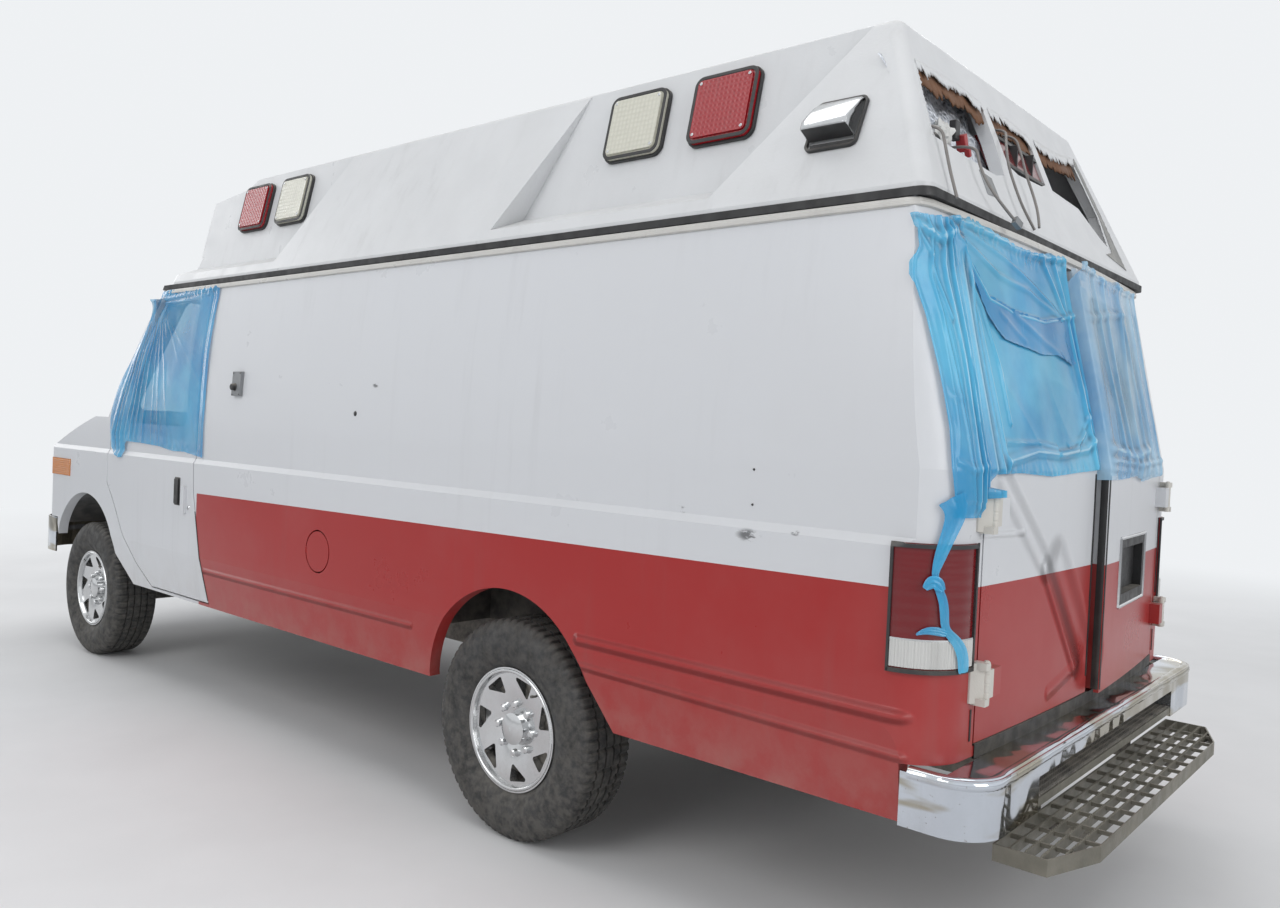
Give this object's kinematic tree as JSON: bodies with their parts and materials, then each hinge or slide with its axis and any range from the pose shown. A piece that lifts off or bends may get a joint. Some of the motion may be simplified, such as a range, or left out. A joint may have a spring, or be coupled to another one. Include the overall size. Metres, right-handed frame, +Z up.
{
  "type": "van ambulance with raised roof",
  "caption": "Long van-bodied ambulance with a raised moulded roof, hinged doors, steered front wheels and plastic film over broken glass.",
  "frame": {"origin": "bottom centre of the bounding box, on the ground between the tyres", "axes": "+Z up, -Y to the front of the vehicle, +X to its left side"},
  "size_m": [2.04, 6.01, 2.5601],
  "materials": {
    "white_paint": "aged gloss",
    "red_paint": "aged gloss",
    "roof_shell": "moulded, aged gloss",
    "black_rubber": "matt",
    "glass": "clear, dusty",
    "red_lens": "moulded lens",
    "clear_lens": "moulded lens",
    "bright_metal": "bright, dusty",
    "tyre": "dusty",
    "black_steel": "dusty black",
    "black_plastic": "dull",
    "grey_plastic": "dull",
    "engine_iron": "oily",
    "step_metal": "worn olive grey",
    "seat_vinyl": "vinyl",
    "blue_film": "thin sheet",
    "grey_wire": "sheathed"
  },
  "bodies": {
    "body": {"cab_frame": "white_paint", "cab_partition": "roof_shell", "cab_seats": "seat_vinyl", "chassis_frame": "black_steel", "corner_lamps": "clear_lens", "dashboard": "black_plastic", "engine_block": "engine_iron", "film_rear_corner": "blue_film", "floor_pan": "black_steel", "front_axle": "black_steel", "front_bumper": "bright_metal", "front_wings": "white_paint", "fuel_tank": "black_steel", "grille": "black_plastic", "headlamps": "clear_lens", "left_side_panel": "white_paint", "loose_wire_1": "grey_wire", "loose_wire_2": "grey_wire", "loose_wire_3": "grey_wire", "loose_wire_4": "grey_wire", "power_inlet": "grey_plastic", "raised_roof": "roof_shell", "rear_axle": "black_steel", "rear_bumper": "bright_metal", "rear_frame": "white_paint", "rear_step": "step_metal", "right_side_panel": "white_paint", "roof_brake_lamp": "red_lens", "roof_lamps_clear": "clear_lens", "roof_lamps_red": "red_lens", "roof_seam": "black_rubber", "scene_lights": "clear_lens", "steering_wheel": "black_plastic", "tail_lamps": "red_lens", "wheel_liners": "black_plastic", "windscreen": "glass", "wire_plug": "grey_plastic"},
    "knuckle_left": {"knuckle_left": "black_steel"},
    "knuckle_right": {"knuckle_right": "black_steel"},
    "wheel_front_left": {"wheel_front_left": "bright_metal", "tyre_front_left": "tyre"},
    "wheel_front_right": {"wheel_front_right": "bright_metal", "tyre_front_right": "tyre"},
    "wheel_rear_left": {"wheel_rear_left": "bright_metal", "tyre_rear_left": "tyre"},
    "wheel_rear_right": {"wheel_rear_right": "bright_metal", "tyre_rear_right": "tyre"},
    "cab_door_left": {"cab_door_left": "white_paint", "film_cab_left": "blue_film"},
    "cab_door_right": {"cab_door_right": "white_paint", "cab_glass_right": "glass"},
    "rear_door_left": {"rear_door_left": "white_paint", "film_rear_left": "blue_film"},
    "rear_door_right": {"rear_door_right": "white_paint", "film_rear_right": "blue_film"},
    "side_door_front": {"side_door_front": "white_paint"},
    "side_door_rear": {"side_door_rear": "white_paint"},
    "bonnet": {"bonnet": "white_paint"},
    "fuel_flap": {"fuel_flap": "red_paint"}
  },
  "joints": [
    {"name": "steer_left", "type": "hinge", "parent": "body", "child": "knuckle_left", "pos_m": [0.8, -2.278, 0.37], "axis": [0, 0, 1], "range_deg": [-30, 30]},
    {"name": "steer_right", "type": "hinge", "parent": "body", "child": "knuckle_right", "pos_m": [-0.8, -2.278, 0.37], "axis": [0, 0, 1], "range_deg": [-30, 30]},
    {"name": "spin_front_left", "type": "hinge", "parent": "knuckle_left", "child": "wheel_front_left", "pos_m": [0.865, -2.278, 0.37], "axis": [1, 0, 0], "continuous": true},
    {"name": "spin_front_right", "type": "hinge", "parent": "knuckle_right", "child": "wheel_front_right", "pos_m": [-0.865, -2.278, 0.37], "axis": [1, 0, 0], "continuous": true},
    {"name": "spin_rear_left", "type": "hinge", "parent": "body", "child": "wheel_rear_left", "pos_m": [0.87, 1.227, 0.37], "axis": [1, 0, 0], "continuous": true},
    {"name": "spin_rear_right", "type": "hinge", "parent": "body", "child": "wheel_rear_right", "pos_m": [-0.87, 1.227, 0.37], "axis": [1, 0, 0], "continuous": true},
    {"name": "open_cab_door_left", "type": "hinge", "parent": "body", "child": "cab_door_left", "pos_m": [1.005, -2.0085, 1.065], "axis": [0, 0, -1], "range_deg": [0, 68]},
    {"name": "open_cab_door_right", "type": "hinge", "parent": "body", "child": "cab_door_right", "pos_m": [-1.005, -2.0085, 1.065], "axis": [0, 0, 1], "range_deg": [0, 68]},
    {"name": "open_rear_door_left", "type": "hinge", "parent": "body", "child": "rear_door_left", "pos_m": [0.812, 2.772, 1.018], "axis": [0, 0, -1], "range_deg": [0, 170]},
    {"name": "open_rear_door_right", "type": "hinge", "parent": "body", "child": "rear_door_right", "pos_m": [-0.812, 2.772, 1.018], "axis": [0, 0, 1], "range_deg": [-2.5, 167.5]},
    {"name": "open_side_door_front", "type": "hinge", "parent": "body", "child": "side_door_front", "pos_m": [-1.005, -0.7765, 1.065], "axis": [0, 0, 1], "range_deg": [0, 90]},
    {"name": "open_side_door_rear", "type": "hinge", "parent": "body", "child": "side_door_rear", "pos_m": [-1.005, 0.4165, 1.065], "axis": [0, 0, -1], "range_deg": [0, 90]},
    {"name": "open_bonnet", "type": "hinge", "parent": "body", "child": "bonnet", "pos_m": [0, -2.2365, 1.332], "axis": [-1, 0, 0], "range_deg": [0, 55]},
    {"name": "open_fuel_flap", "type": "hinge", "parent": "body", "child": "fuel_flap", "pos_m": [1.005, -0.0085, 0.842], "axis": [0, 0, -1], "range_deg": [0, 110]}
  ],
  "couplings": [
    {"joint": "steer_right", "follows": "steer_left", "ratio": 1}
  ]
}
